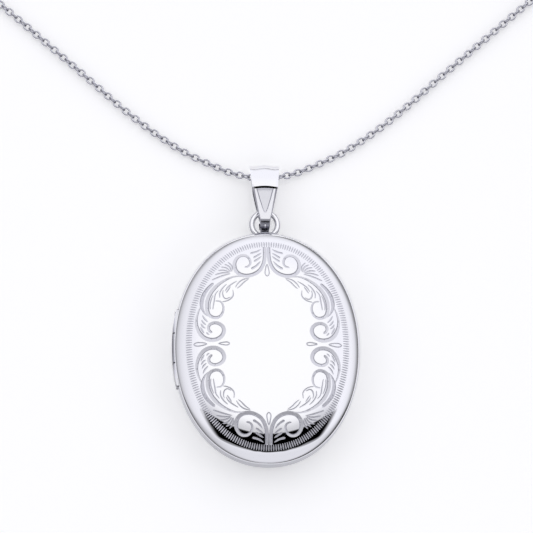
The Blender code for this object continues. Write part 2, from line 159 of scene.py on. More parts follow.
def mesh_from(bm, name, sharp=30, outward=True):
    """The bmesh as a mesh in metres, smooth between edges sharper than this many degrees."""
    if outward:
        bmesh.ops.recalc_face_normals(bm, faces=bm.faces)
    bmesh.ops.scale(bm, vec=(MM, MM, MM), verts=bm.verts)
    mesh = bpy.data.meshes.new(name)
    bm.to_mesh(mesh)
    bm.free()
    if sharp:
        mesh.shade_smooth()
        mesh.set_sharp_from_angle(angle=radians(sharp))
    return mesh


def piece(name, mesh, materials, body, node):
    """A mesh in place of one CAD node, with the body that it rides on."""
    obj = new_mesh_object(name, mesh, *materials)
    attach(obj, body)
    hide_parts(node)
    return obj


def signed_power(value, power):
    return copysign(abs(value) ** power, value)


def oval(angle, half_width, half_length):
    power = 2 / OVAL_POWER
    return half_width * signed_power(cos(angle), power), half_length * signed_power(sin(angle), power)


def oval_points(half_width, half_length, sides=OVAL_SIDES):
    return [oval(2 * pi * i / sides, half_width, half_length) for i in range(sides)]


def inset_oval(inset, z):
    return HALF_WIDTH - inset, HALF_LENGTH - inset, z


def circle(sides, start=0.0):
    """The cosines and sines of evenly spaced angles. The first is this share of a step past zero."""
    angles = [2 * pi * (i + start) / sides for i in range(sides)]
    return [(cos(a), sin(a)) for a in angles]


def bridge(bm, lower, upper, slot=0):
    """Faces between two rings of points."""
    for i in range(len(lower)):
        j = (i + 1) % len(lower)
        bm.faces.new((lower[i], lower[j], upper[j], upper[i])).material_index = slot


def oval_loft(sections, closed=False, sides=OVAL_SIDES, cap_slots=(0, 0)):
    """A bmesh through oval sections (half width, half length, height, and a slot for the faces after it)."""
    bm = bmesh.new()
    rings = []
    for half_width, half_length, z, *_ in sections:
        rings.append([bm.verts.new((x, y, z)) for x, y in oval_points(half_width, half_length, sides)])
    pairs = list(zip(rings, rings[1:], sections))
    if closed:
        pairs.append((rings[-1], rings[0], sections[-1]))
    else:
        for ring, cap_slot in zip((rings[0], rings[-1]), cap_slots):
            bm.faces.new(ring).material_index = cap_slot
    for lower, upper, section in pairs:
        bridge(bm, lower, upper, section[3] if len(section) > 3 else 0)
    return bm


def smooth_line(points, steps, closed=False):
    """Points along a Catmull-Rom curve through these points, with this many steps between each two."""
    knots = [Vector(p) for p in points]
    if closed:
        knots = [knots[-1], *knots, knots[0], knots[1]]
    else:
        knots = [2 * knots[0] - knots[1], *knots, 2 * knots[-1] - knots[-2]]
    made = []
    for a, b, c, d in zip(knots, knots[1:], knots[2:], knots[3:]):
        for i in range(steps):
            t = i / steps
            near = 2 * b + (c - a) * t + (2 * a - 5 * b + 4 * c - d) * t * t
            made.append((near + (3 * b - a - 3 * c + d) * t**3) / 2)
    if not closed:
        made.append(knots[-2])
    return made


def evenly_spaced(line, step):
    """Points about this far apart along a line of many short pieces."""
    lengths = [0.0]
    for a, b in zip(line, line[1:]):
        lengths.append(lengths[-1] + (b - a).length)
    count = max(2, round(lengths[-1] / step))
    made = []
    k = 0
    for i in range(count + 1):
        at = lengths[-1] * i / count
        while k < len(line) - 2 and lengths[k + 1] < at:
            k += 1
        share = (at - lengths[k]) / (lengths[k + 1] - lengths[k])
        made.append(line[k].lerp(line[k + 1], min(share, 1.0)))
    return made


def bare_object(bm, name):
    """The bmesh as an object in millimetres, with its faces turned outwards."""
    bmesh.ops.recalc_face_normals(bm, faces=bm.faces)
    mesh = bpy.data.meshes.new(name)
    bm.to_mesh(mesh)
    bm.free()
    return linked(name, mesh)


def cut_bmesh(bm, *cuts):
    """The bmesh (in millimetres) after Booleans, each an (operation, bmesh) pair."""
    obj = bare_object(bm, "cut")
    for _ in range(4):
        obj.data.materials.append(None)
    others = []
    for operation, other_bm in cuts:
        other = bare_object(other_bm, "cutter")
        modifier = obj.modifiers.new("cut", "BOOLEAN")
        modifier.operation = operation
        modifier.solver = "EXACT"
        modifier.object = other
        others.append(other)
    bpy.context.view_layer.update()
    graph = bpy.context.evaluated_depsgraph_get()
    found = bpy.data.meshes.new_from_object(obj.evaluated_get(graph))
    made = bmesh.new()
    made.from_mesh(found)
    for gone in (obj, *others):
        bpy.data.objects.remove(gone)
    bpy.data.meshes.remove(found)
    bmesh.ops.remove_doubles(made, verts=made.verts, dist=1e-4)
    return made


def box_bmesh(low, high):
    bm = bmesh.new()
    size = Vector(high) - Vector(low)
    middle = (Vector(high) + Vector(low)) / 2
    bmesh.ops.create_cube(bm, size=1.0, matrix=Matrix.Translation(middle) @ Matrix.Diagonal((*size, 1.0)))
    return bm


def turned_bmesh(profile, matrix, sides):
    """A closed turned solid: rings of (radius, height along the axis), with flat ends."""
    bm = bmesh.new()
    rings = []
    for radius, height in profile:
        rings.append([bm.verts.new((radius * c, radius * s, height)) for c, s in circle(sides)])
    for lower, upper in zip(rings, rings[1:]):
        bridge(bm, lower, upper)
    bm.faces.new(rings[0])
    bm.faces.new(rings[-1])
    bmesh.ops.transform(bm, matrix=matrix, verts=bm.verts)
    return bm


def add_wire_ring(bm, points, up, radius, sides):
    """Adds a closed round wire through points that lie in one plane, with up square to it."""
    rings = []
    for i, point in enumerate(points):
        along = (points[(i + 1) % len(points)] - points[i - 1]).normalized()
        across = along.cross(up).normalized()
        out = across.cross(along)
        rings.append([bm.verts.new(point + (across * c + out * s) * radius) for c, s in circle(sides)])
    for lower, upper in zip(rings, rings[1:] + rings[:1]):
        bridge(bm, lower, upper)


# ---- materials

# How far up a face points where the painted edge shade ends, where it is mixed and where the main colour
# starts
PAINTED_EDGE_FACING = (0.10, 0.46, 0.78)
MARK_DEPTH = 0.00002  # height of the polishing marks, in metres


def set_inputs(node, **inputs):
    """Puts these values on the node's inputs. An underscore stands for a space in an input's name."""
    for name, value in inputs.items():
        node.inputs[name.replace("_", " ")].default_value = value


def add_node(tree, kind, **inputs):
    node = tree.nodes.new("ShaderNode" + kind)
    set_inputs(node, **inputs)
    return node


def node_math(tree, operation, first, second=None):
    node = add_node(tree, "Math")
    node.operation = operation
    for socket, value in zip(node.inputs, (first, second)):
        if isinstance(value, (int, float)):
            socket.default_value = value
        elif value is not None:
            tree.links.new(value, socket)
    return node.outputs[0]


def soft_step(tree, value, low, high):
    """0 below low, 1 above high, smooth between."""
    node = add_node(tree, "MapRange", From_Min=low, From_Max=high)
    node.interpolation_type = "SMOOTHSTEP"
    tree.links.new(value, node.inputs["Value"])
    return node.outputs["Result"]


def textured(name, scale):
    """A new material, its shader, and its texture coordinates and a noise on them."""
    made = bpy.data.materials.new(name)
    made.use_nodes = True
    tree = made.node_tree
    place = add_node(tree, "TexCoord")
    noise = add_node(tree, "TexNoise", Scale=scale)
    tree.links.new(place.outputs["Object"], noise.inputs["Vector"])
    return made, tree.nodes["Principled BSDF"], place, noise


def vary_roughness(made, shader, noise, low, high):
    tree = made.node_tree
    spread = add_node(tree, "MapRange", To_Min=low, To_Max=high)
    tree.links.new(noise.outputs["Fac"], spread.inputs["Value"])
    tree.links.new(spread.outputs["Result"], shader.inputs["Roughness"])


def metal(name, colour, roughness, scratch, scale, variation, edge=None, steps=PAINTED_EDGE_FACING):
    """Polished metal with faint polishing marks in its roughness and a very fine bump.

    With an edge colour, faces that stand upright on the piece have that colour: a painted reflection of the
    dark surroundings that polished metal shows there, not a colour of the metal itself.
    """
    made, shader, place, noise = textured(name, scale)
    tree = made.node_tree
    set_inputs(shader, Base_Color=(*colour, 1.0), Metallic=1.0)
    set_inputs(noise, Detail=3.0)
    vary_roughness(made, shader, noise, max(0.0, roughness - variation), roughness + variation)
    if edge:
        apart = add_node(tree, "SeparateXYZ")
        tree.links.new(place.outputs["Normal"], apart.inputs["Vector"])
        facing = node_math(tree, "ABSOLUTE", apart.outputs["Z"])
        ramp = add_node(tree, "ValToRGB")
        middle = [(2 * a + b) / 3 for a, b in zip(edge, colour)]
        low, high = ramp.color_ramp.elements
        low.position = steps[0]
        low.color = (*edge, 1.0)
        high.position = steps[2]
        high.color = (*colour, 1.0)
        ramp.color_ramp.elements.new(steps[1]).color = (*middle, 1.0)
        tree.links.new(facing, ramp.inputs["Fac"])
        tree.links.new(ramp.outputs["Color"], shader.inputs["Base Color"])
    bump = add_node(tree, "Bump", Strength=scratch, Distance=MARK_DEPTH)
    tree.links.new(noise.outputs["Fac"], bump.inputs["Height"])
    tree.links.new(bump.outputs["Normal"], shader.inputs["Normal"])
    return made


def paper_card(name):
    made, shader, _, noise = textured(name, 2500.0)
    tree = made.node_tree
    set_inputs(shader, Roughness=0.55)
    ramp = add_node(tree, "ValToRGB")
    ramp.color_ramp.elements[0].color = (0.58, 0.56, 0.52, 1.0)
    ramp.color_ramp.elements[1].color = (0.68, 0.66, 0.62, 1.0)
    tree.links.new(noise.outputs["Fac"], ramp.inputs["Fac"])
    tree.links.new(ramp.outputs["Color"], shader.inputs["Base Color"])
    return made


def clear_sheet(name):
    made, shader, _, noise = textured(name, 300.0)
    set_inputs(shader, Base_Color=(0.90, 0.91, 0.92, 1.0), Alpha=0.16, IOR=1.47)
    vary_roughness(made, shader, noise, 0.02, 0.06)
    return made


# The edge colours below are painted reflections: upright faces are darkened as if they showed dark
# surroundings.
SILVER = metal("polished_silver", (0.93, 0.93, 0.955), 0.035, 0.01, 400.0, 0.015, (0.46, 0.46, 0.50))
RING_SILVER = metal(
    "ring_silver", (0.93, 0.93, 0.955), 0.05, 0.01, 400.0, 0.02, (0.24, 0.24, 0.28), (0.20, 0.55, 0.86)
)
# The hinge's greyer base and near-black edge colour are painted shade: it is the same silver as the body.
HINGE_SILVER = metal(
    "hinge_silver", (0.74, 0.74, 0.79), 0.10, 0.01, 400.0, 0.02, (0.08, 0.08, 0.10), (0.30, 0.72, 0.97)
)
# The two cut metals are lit and shaded copies: the steep side's darker colour is painted shade.
CUT_SHALLOW = metal("bright_cut", (0.74, 0.74, 0.79), 0.42, 0.05, 3000.0, 0.05)
CUT_PAINTED_SHADE = metal("cut_painted_shade", (0.50, 0.50, 0.55), 0.45, 0.05, 3000.0, 0.05)
SATIN = metal("satin_facet", (0.70, 0.70, 0.75), 0.22, 0.10, 2500.0, 0.06)
FRAME_SILVER = metal("facet_frame", (0.80, 0.80, 0.85), 0.16, 0.04, 1500.0, 0.04)
# Painted shade: the same silver darkened, for the bail's curl and the ring's foot.
PAINTED_SHADE_SILVER = metal("painted_shade_silver", (0.30, 0.30, 0.34), 0.22, 0.40, 1800.0, 0.10)
# The chain's darker base colour and near-black edge colour are painted shade: the links are the same silver.
CHAIN_SILVER = metal("link_silver", (0.70, 0.70, 0.76), 0.10, 0.03, 1500.0, 0.04, (0.10, 0.10, 0.13))
INNER_SILVER = metal("inner_silver", (0.90, 0.90, 0.92), 0.10, 0.04, 800.0, 0.04)
CLASP_SILVER = metal("clasp_silver", (0.90, 0.90, 0.93), 0.08, 0.03, 900.0, 0.03, (0.35, 0.35, 0.38))
PIN_STEEL = metal("pin_steel", (0.55, 0.55, 0.58), 0.25, 0.10, 1500.0, 0.06)
CARD = paper_card("photo_card")
CLEAR = clear_sheet("clear_window")


# ---- camera


def make_camera():
    data = bpy.data.cameras.new("camera")
    data.lens = LENS
    data.sensor_width = SENSOR
    data.clip_start = 0.05
    data.clip_end = 20.0
    camera = linked("camera", data)
    tilt, turn, roll = (radians(a) for a in (VIEW_TILT, VIEW_TURN, VIEW_ROLL))
    back = Vector((-sin(turn) * cos(tilt), -sin(tilt), cos(turn) * cos(tilt)))
    level = Vector((0, 1, 0)).cross(back).normalized()
    upright = back.cross(level)
    right = level * cos(roll) - upright * sin(roll)
    up = level * sin(roll) + upright * cos(roll)
    place = (Vector(VIEW_AIM) + back * (VIEW_FIELD * LENS / SENSOR)) * MM
    camera.matrix_world = Matrix.Translation(place) @ Matrix((right, up, back)).transposed().to_4x4()
    bpy.context.scene.camera = camera


make_camera()


# ---- chain


def coil_point(radius, turns, z):
    angle = radians(COIL_ENTRY_ANGLE) + 2 * pi * turns
    return COIL_CENTRE[0] + radius * cos(angle), COIL_CENTRE[1] + radius * sin(angle), z


def coil_points():
    """The put-away turns: a spiral inwards on the surface, then one outwards on top of it."""
    made = []
    lower_steps = round(COIL_LOWER_TURNS * COIL_TURN_STEPS)
    for i in range(lower_steps + 1):
        share = i / lower_steps
        radius = COIL_OUTER + (COIL_INNER - COIL_OUTER) * share
        made.append(coil_point(radius, COIL_LOWER_TURNS * share, CHAIN_REST_Z))
    upper_steps = round(COIL_UPPER_TURNS * COIL_TURN_STEPS)
    for i in range(1, upper_steps + 1):
        turns = COIL_UPPER_TURNS * i / upper_steps
        climb = LAYER_RISE * min(1.0, turns / CLIMB_TURNS)
        radius = COIL_INNER + LAYER_RISE * turns
        made.append(coil_point(radius, COIL_LOWER_TURNS + turns, CHAIN_REST_Z + climb))
    return made


def link_points():
    """The middle line of one link in its own axes, long along X and flat in XY."""
    made = []
    long_half = (LINK_LENGTH - LINK_WIRE) / 2
    wide_half = (LINK_WIDTH - LINK_WIRE) / 2
    for c, s in circle(LINK_SIDES, 0.5):
        x = signed_power(c, LINK_POWER) * long_half
        y = signed_power(s, LINK_POWER) * wide_half
        made.append(Vector((x, y, 0)))
    return made


def chain_half(name, sign, seed):
    """One side of the chain, as real links from the middle of the bail to its end, and its path."""
    draw = random.Random(seed)
    points = [*CHAIN_ROUTE, *coil_points(), *TAIL_ROUTE]
    line = smooth_line([(sign * x, y, z) for x, y, z in points], 6)
    centres = evenly_spaced(line, LINK_PITCH)
    if sign < 0:
        centres = centres[1:]  # the middle link belongs to the right side
    bm = bmesh.new()
    shape = link_points()
    up = Vector((0, 0, 1))
    for i, centre in enumerate(centres):
        ahead = centres[min(i + 1, len(centres) - 1)]
        behind = centres[max(i - 1, 0)]
        along = (ahead - behind).normalized()
        across = up.cross(along).normalized()
        level = along.cross(across)
        parity = i + (1 if sign < 0 else 0)
        lean = draw.uniform(-LINK_TWIST, LINK_TWIST)
        turn = radians(lean + (90 if parity % 2 else 0))
        wide = across * cos(turn) + level * sin(turn)
        thick = along.cross(wide)
        ring = [centre + along * p.x + wide * p.y for p in shape]
        add_wire_ring(bm, ring, thick, LINK_WIRE / 2, WIRE_SIDES)
    obj = new_mesh_object(name, mesh_from(bm, name, sharp=80), CHAIN_SILVER)
    return obj, line


def line_length(line):
    return sum((b - a).length for a, b in zip(line, line[1:]))


def make_chain(clasp_pieces, end_ring):
    for side, sign, seed, far_pieces in (("left", -1, 11, [end_ring]), ("right", 1, 23, clasp_pieces)):
        obj, line = chain_half(f"chain_links_{side}", sign, seed)
        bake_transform(obj)
        nodes = [f"chain_{side}", f"chain_coil_{side}", f"chain_tail_{side}"]
        if side == "right":
            nodes.append("chain_middle")
        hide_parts(*nodes)


# ---- clasp and end rings

END_RING_RADIUS = 1.50
END_RING_WIRE = 0.25
END_RING_AT = (24.6, 68.0, 1.80)


def ring_points(centre, upward, radius, count):
    return [centre + Vector((1, 0, 0)) * c * radius + upward * s * radius for c, s in circle(count)]


def make_end_ring(name, sign):
    x, y, z = END_RING_AT
    centre = Vector((sign * x, y, z))
    bm = bmesh.new()
    ring = ring_points(centre, Vector((0, 0, 1)), END_RING_RADIUS, 40)
    add_wire_ring(bm, ring, Vector((0, 1, 0)), END_RING_WIRE, 14)
    mesh = mesh_from(bm, name, sharp=80)
    return piece(name + "_polished", mesh, [CLASP_SILVER], "back", name)


def restyle(node, material):
    """Gives a CAD node this material in all its slots."""
    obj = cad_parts[node]
    for slot in obj.material_slots:
        slot.material = material
    return obj


def make_end_pieces():
    end_ring = make_end_ring("end_ring", -1)
    clasp = [make_end_ring("clasp_ring", 1)]
    for node in ("clasp_body", "clasp_lever", "clasp_rivet", "clasp_spring"):
        clasp.append(restyle(node, CLASP_SILVER))
    return clasp, end_ring


CLASP_PIECES, END_RING = make_end_pieces()
make_chain(CLASP_PIECES, END_RING)


# ---- engraving
# Strokes of the upper right quarter. Each is its points (x, y), its widths at start, middle and end,
# and how far its deepest line leans from its middle, with left of the direction of travel as positive.

STEM_BANDS = (
    ((
        (0.28, 14.8), (0.3, 13.4), (0.5, 12.3), (1.0, 11.3), (1.8, 10.65), (2.8, 10.35), (3.8, 10.5),
        (4.5, 11.1), (4.75, 12.0), (4.6, 12.8), (4.1, 13.45), (3.4, 13.65), (2.8, 13.4), (2.45, 12.8),
        (2.45, 12.2), (2.8, 11.8), (3.3, 11.7),
    ), (0.50, 0.60, 0.26), 0.55),
    ((
        (3.3, 10.2), (4.7, 10.25), (5.9, 9.85), (7.0, 9.2), (7.9, 8.35), (8.5, 7.4), (8.8, 6.5),
        (8.8, 5.6), (8.6, 4.9), (8.1, 4.5), (7.4, 4.4), (6.8, 4.7), (6.45, 5.4), (6.5, 6.1), (6.9, 6.6),
        (7.6, 6.7),
    ), (0.12, 0.58, 0.20), -0.55),
    ((
        (7.8, 9.35), (8.7, 8.5), (9.3, 7.6), (9.55, 6.7), (9.55, 5.9), (9.2, 5.1), (8.7, 4.6),
    ), (0.42, 0.58, 0.12), 0.5),
    ((
        (9.7, 6.05), (10.1, 5.2), (10.35, 4.3), (10.35, 3.4), (10.15, 2.55), (9.8, 1.75), (9.2, 1.05),
        (8.4, 0.7), (7.5, 0.75), (6.75, 1.3), (6.4, 2.2), (6.6, 3.0), (7.2, 3.5), (7.9, 3.6), (8.5, 3.25),
        (8.65, 2.6), (8.4, 2.1), (8.1, 1.9),
    ), (0.14, 0.62, 0.40), -0.55),
)
FEATHERS = (  # each group's widths, then its strokes
    ((0.10, 0.28, 0.36),
     ((0.75, 14.5), (1.5, 14.15), (2.4, 13.95)), ((0.75, 14.0), (1.3, 13.65), (1.95, 13.2)),
     ((0.75, 13.5), (1.25, 13.05), (1.9, 12.6))),
    ((0.10, 0.32, 0.42),
     ((0.9, 12.7), (1.5, 11.95), (2.3, 11.4))),
    ((0.12, 0.25, 0.20),
     ((5.15, 11.0), (5.15, 11.9), (5.7, 12.6)), ((5.25, 11.0), (5.5, 11.8), (6.2, 12.3)),
     ((5.35, 10.95), (5.9, 11.6), (6.7, 11.85)), ((5.45, 10.9), (6.25, 11.25), (7.15, 11.3)),
     ((5.45, 10.8), (6.5, 10.85), (7.6, 10.6))),
    ((0.10, 0.25, 0.20),
     ((5.3, 10.7), (6.6, 10.35), (8.1, 9.8))),
    ((0.12, 0.27, 0.16),
     ((9.5, 4.85), (9.2, 4.3), (8.7, 3.75)), ((9.65, 4.2), (9.35, 3.7), (8.95, 3.25)),
     ((9.75, 3.6), (9.45, 3.05), (9.05, 2.7)), ((9.8, 3.0), (9.55, 2.4), (9.25, 1.8))),
    ((0.12, 0.24, 0.14),
     ((8.95, 2.1), (8.8, 1.8), (8.5, 1.55))),
)
FINE_LINES = (
    ((2.6, 10.0), (3.6, 9.75), (4.3, 9.2), (4.7, 8.6)),
    ((2.7, 9.85), (3.4, 9.4), (3.95, 8.85), (4.45, 8.45)),
    ((4.4, 9.6), (5.3, 9.05), (5.85, 8.6), (6.2, 8.05)),
    ((5.35, 8.8), (5.7, 8.3), (6.05, 7.8)),
    ((5.9, 9.15), (6.5, 8.6), (6.95, 7.85), (6.95, 7.1)),
    ((6.4, 8.3), (6.55, 7.8), (6.4, 7.2), (6.0, 6.95), (5.4, 7.2)),
    ((5.05, 8.3), (5.0, 7.5), (5.4, 6.95), (6.0, 6.65), (6.6, 6.55)),
    ((7.1, 8.3), (7.6, 7.65), (7.75, 6.9), (7.9, 6.1), (8.0, 5.5)),
    ((7.9, 7.6), (8.2, 6.95), (8.4, 6.2), (8.35, 5.5)),
)
FINE_WIDTHS = (0.12, 0.22, 0.15)
AXIS_DROPS = (  # closed outlines that lie across the upright middle line or the level one
    ((0.0, 12.15), (0.26, 11.1), (0.26, 10.6), (0.0, 10.3), (-0.26, 10.6), (-0.26, 11.1)),
    ((7.2, 0.0), (6.5, 0.22), (5.9, 0.26), (5.6, 0.0), (5.9, -0.26), (6.5, -0.22)),
    ((8.9, 0.0), (9.6, 0.24), (10.35, 0.28), (10.75, 0.0), (10.35, -0.28), (9.6, -0.24)),
)
DROP_WIDTH = 0.19
PATTERN_WIDTH = 0.982
PATTERN_HEIGHTS = ((0, 0), (4.0, 3.45), (6.85, 6.58), (10.35, 10.18), (13.9, 13.6), (14.8, 14.72))
GROOVE_SLOPE = 0.24  # depth as a share of half the stroke's width
TICK_COUNT = 240
TICK_INSETS = (0.12, 0.98)  # from the crease inwards
TICK_WIDTHS = (0.22, 0.19, 0.12)
GRID_STEP = 0.55
STROKE_STEP = 0.16
END_ROUNDING = 0.22
WIDEST_SPAN = (0.35, 0.6)  # the shares of a stroke's length between which it has its middle width
FEATHER_LEAN = 0.3
TICK_LEAN = 0.25


def placed(x, y):
    """A control point, drawn in towards the level middle line as the pattern is on the cover."""
    drawn, real = zip(*PATTERN_HEIGHTS)
    return x * PATTERN_WIDTH, copysign(np.interp(abs(y), drawn, real), y), 0


def stroke_stations(points, widths, closed=False):
    """Evenly spaced stations (point, left normal, half width) along a stroke, with rounded ends."""
    line = smooth_line([placed(x, y) for x, y in points], 10, closed)
    if closed:
        line.append(line[0])
    spots = evenly_spaced(line, STROKE_STEP)
    total = line_length(spots)
    made = []
    for i, spot in enumerate(spots):
        ahead = spots[min(i + 1, len(spots) - 1)]
        behind = spots[max(i - 1, 0)]
        if closed and i in (0, len(spots) - 1):
            ahead, behind = spots[1], spots[-2]
        along = (ahead - behind).normalized()
        share = i / (len(spots) - 1)
        if closed:
            width = widths[1]
        else:
            first, middle, last = widths
            wide_from, wide_to = WIDEST_SPAN
            width = first + (middle - first) * min(1, share / wide_from)
            if share > wide_to:
                width = middle + (last - middle) * (share - wide_to) / (1 - wide_to)
            near_end = min(share, 1 - share) * total / END_ROUNDING
            width *= sqrt(max(0.06, 1 - (1 - min(1, near_end)) ** 2))
        made.append((spot.x, spot.y, -along.y, along.x, width / 2))
    return np.array(made)


def quarter_copies(stations, lean):
    """The same stroke in all four quarters. Mirroring swaps its left and right."""
    quarters = ((1, 1), (-1, 1), (1, -1), (-1, -1))
    return [(stations * np.array((sx, sy, sx, sy, 1.0)), lean) for sx, sy in quarters]


def all_strokes():
    made = []
    for points, widths, lean in STEM_BANDS:
        made += quarter_copies(stroke_stations(points, widths), lean)
    for widths, *strokes in FEATHERS:
        for points in strokes:
            made += quarter_copies(stroke_stations(points, widths), FEATHER_LEAN)
    for points in FINE_LINES:
        made += quarter_copies(stroke_stations(points, FINE_WIDTHS), 0.0)
    for points in AXIS_DROPS:
        stations = stroke_stations(points, (DROP_WIDTH,) * 3, closed=True)
        made.append((stations, 0.0))
        made.append((stations * np.array((-1, -1, -1, -1, 1.0)), 0.0))
    return made + tick_strokes()


def tick_strokes():
    """Short radial strokes just inside the crease, evenly spaced along it."""
    loop = [Vector((*oval(2 * pi * i / 1440, CREASE_X, CREASE_Y), 0)) for i in range(1441)]
    spots = evenly_spaced(loop, line_length(loop) / TICK_COUNT)[:-1]
    made = []
    for i, spot in enumerate(spots):
        along = (spots[(i + 1) % len(spots)] - spots[i - 1]).normalized()
        inward = Vector((-along.y, along.x, 0))
        points = [spot + inward * inset for inset in np.linspace(*TICK_INSETS, 4)]
        first, middle, last = TICK_WIDTHS
        widths = (first * 0.6, first, middle, last)
        rows = [(p.x, p.y, -inward.y, inward.x, w / 2) for p, w in zip(points, widths)]
        made.append((np.array(rows), TICK_LEAN))
    return made


def dome_share(x, y):
    far = np.abs(x / CREASE_X) ** OVAL_POWER + np.abs(y / CREASE_Y) ** OVAL_POWER
    return far ** (1 / OVAL_POWER)


def dome_z(share):
    return TOP_Z - DOME_RISE * share**DOME_POWER


def dome_normals(x, y):
    share = np.maximum(dome_share(x, y), 1e-6)
    fall = DOME_RISE * DOME_POWER * share ** (DOME_POWER - OVAL_POWER)
    nx = fall * np.sign(x) * np.abs(x / CREASE_X) ** (OVAL_POWER - 1) / CREASE_X
    ny = fall * np.sign(y) * np.abs(y / CREASE_Y) ** (OVAL_POWER - 1) / CREASE_Y
    made = np.stack((nx, ny, np.ones_like(nx)), axis=-1)
    return made / np.linalg.norm(made, axis=-1, keepdims=True)


def stroke_segments(strokes):
    """All strokes' segments in arrays, for working out the depth at any point."""
    rows = []
    for stations, lean in strokes:
        count = len(stations)
        for i in range(count - 1):
            a, b = stations[i], stations[i + 1]
            at_start = 0.02 if i == 0 else 0.6
            at_end = 0.02 if i == count - 2 else 0.6
            turned = (b[0] - a[0]) * a[3] - (b[1] - a[1]) * a[2]
            side = copysign(1, turned) * lean
            rows.append((a[0], a[1], b[0], b[1], a[4], b[4], side, at_start, at_end))
    return np.array(rows)


def cut_depth(x, y, segments):
    """The depth of the deepest stroke at each point, and whether it is on that stroke's steep side."""
    depth = np.zeros(len(x))
    steep = np.zeros(len(x), bool)
    ax, ay, bx, by, ha, hb, lean, over_a, over_b = segments.T
    dx, dy = bx - ax, by - ay
    length = np.hypot(dx, dy)
    for first in range(0, len(x), 2000):
        some = slice(first, first + 2000)
        px, py = x[some, None], y[some, None]
        t = ((px - ax) * dx + (py - ay) * dy) / length**2
        near = np.clip(t, 0, 1)
        ox, oy = px - (ax + near * dx), py - (ay + near * dy)
        off = np.hypot(ox, oy) * np.sign(dx * oy - dy * ox)
        half = ha + (hb - ha) * near
        u = off / half
        side = np.where(u > lean, (1 - u) / (1 - lean), (1 + u) / (1 + lean))
        past = np.where(t < 0, -t * length, np.where(t > 1, (t - 1) * length, 0))
        room = np.where(t < 0, over_a, over_b) * half
        found = np.where(past <= room, GROOVE_SLOPE * half * np.clip(side, 0, 1), 0)
        best = found.argmax(axis=1)
        rows = np.arange(len(best))
        depth[some] = found[rows, best]
        is_left = u[rows, best] > lean[best]
        steep[some] = np.where(lean[best] >= 0, is_left, ~is_left)
    return depth, steep


def engraved_dome():
    """The engraved dome: points, triangles, and each triangle's slot (0 polished, 1 shallow, 2 steep, in
    painted shade).
    """
    strokes = all_strokes()
    points = oval_points(CREASE_X, CREASE_Y)
    edges = [(i, (i + 1) % OVAL_SIDES) for i in range(OVAL_SIDES)]
    for stations, lean in strokes:
        x, y, nx, ny, half = stations.T
        first = len(points)
        count = len(stations)
        for u in (-1.0, lean, 1.0):
            points += list(zip(x + nx * half * u, y + ny * half * u))
        for start in (first, first + count, first + 2 * count):
            edges += [(i, i + 1) for i in range(start, start + count - 1)]
        for end in (first, first + count - 1):
            edges += [(end, end + count), (end + count, end + 2 * count)]
    steps_x = int(CREASE_X / GRID_STEP) + 1
    steps_y = int(CREASE_Y / GRID_STEP) + 1
    for i in range(-steps_x, steps_x + 1):
        for j in range(-steps_y, steps_y + 1):
            x, y = (i + 0.5 * (j % 2)) * GRID_STEP, j * GRID_STEP
            if dome_share(np.array(x), np.array(y)) < 0.985:
                points.append((x, y))
    spots = [Vector(p) for p in points]
    verts, _, faces, *_ = geometry.delaunay_2d_cdt(spots, edges, [], 0, 1e-4, False)
    flat = np.array([(v.x, v.y) for v in verts])
    triangles = np.array([f for f in faces])
    segments = stroke_segments(strokes)
    depth, _ = cut_depth(flat[:, 0], flat[:, 1], segments)
    shares = dome_share(flat[:, 0], flat[:, 1])
    depth[shares > 0.9995] = 0
    z = dome_z(shares) - depth
    middles = flat[triangles].mean(axis=1)
    middle_depth, steep = cut_depth(middles[:, 0], middles[:, 1], segments)
    slots = np.where(middle_depth > 5e-4, np.where(steep, 2, 1), 0)
    return np.column_stack((flat, z)), triangles, slots


# ---- covers


def hinge_notch():
    reach = KNUCKLE_RADIUS + NOTCH_CLEARANCE
    end = KNUCKLE_ENDS[1] + NOTCH_CLEARANCE
    low = (-HALF_WIDTH - 2, -end, SPLIT_Z - reach)
    high = (HINGE_X + reach, end, SPLIT_Z + reach)
    return box_bmesh(low, high)


def dome_section(share, lift=0.0, slot=0):
    return share * CREASE_X, share * CREASE_Y, dome_z(share) + lift, slot


def cover_sections():
    """The front cover from the top of its dome, over the rim and its lip, to the middle of its inside.

    The dome's faces have slot 3, so that a finer dome can take their place.
    """
    made = [dome_section(share, slot=3) for share in (0.3, 0.6, 0.85)]
    arc_z = CREASE_Z - RIM_RADIUS
    shoulder = CREASE_INSET * tan(radians(RIM_START))
    for i in range(19):
        t = i / 18
        inset = CREASE_INSET * (1 - t) ** 2
        made.append(inset_oval(inset, CREASE_Z - 2 * t * (1 - t) * shoulder - t * t * RIM_RADIUS))
    lip = SPLIT_Z + SPLIT_GAP / 2
    worn = LIP_BREAK * 0.3
    rounding = ((0, LIP_BREAK), (worn, worn), (LIP_BREAK, 0), (SHEET - LIP_BREAK, 0), (SHEET, LIP_BREAK))
    made += [inset_oval(inset, lip + rise) for inset, rise in rounding]
    inner_radius = RIM_RADIUS - SHEET
    for i in range(9):
        turn = radians(90 * (1 - i / 8))
        inset = RIM_RADIUS - inner_radius * sin(turn)
        made.append(inset_oval(inset, arc_z + inner_radius * cos(turn)))
    for share in (0.93, 0.85, 0.72, 0.55, 0.3):
        made.append(dome_section(share, -SHEET))
    return made


def over_split(sections):
    return [(a, b, 2 * SPLIT_Z - z, *rest) for a, b, z, *rest in sections]


def cover_shell(sections):
    """The cover's rim and inside, notched for the hinge, with its dome left out."""
    made = cut_bmesh(oval_loft(sections, cap_slots=(3, 0)), ("DIFFERENCE", hinge_notch()))
    gone = [face for face in made.faces if face.material_index == 3]
    bmesh.ops.delete(made, geom=gone, context="FACES")
    return made


def add_dome(bm, points, triangles, slots):
    verts = [bm.verts.new(p) for p in points]
    for (a, b, c), slot in zip(triangles, slots):
        try:
            face = bm.faces.new((verts[a], verts[b], verts[c]))
        except ValueError:
            continue
        face.material_index = int(slot)
        face.smooth = bool(slot == 0)
    bmesh.ops.remove_doubles(bm, verts=bm.verts, dist=2e-3)


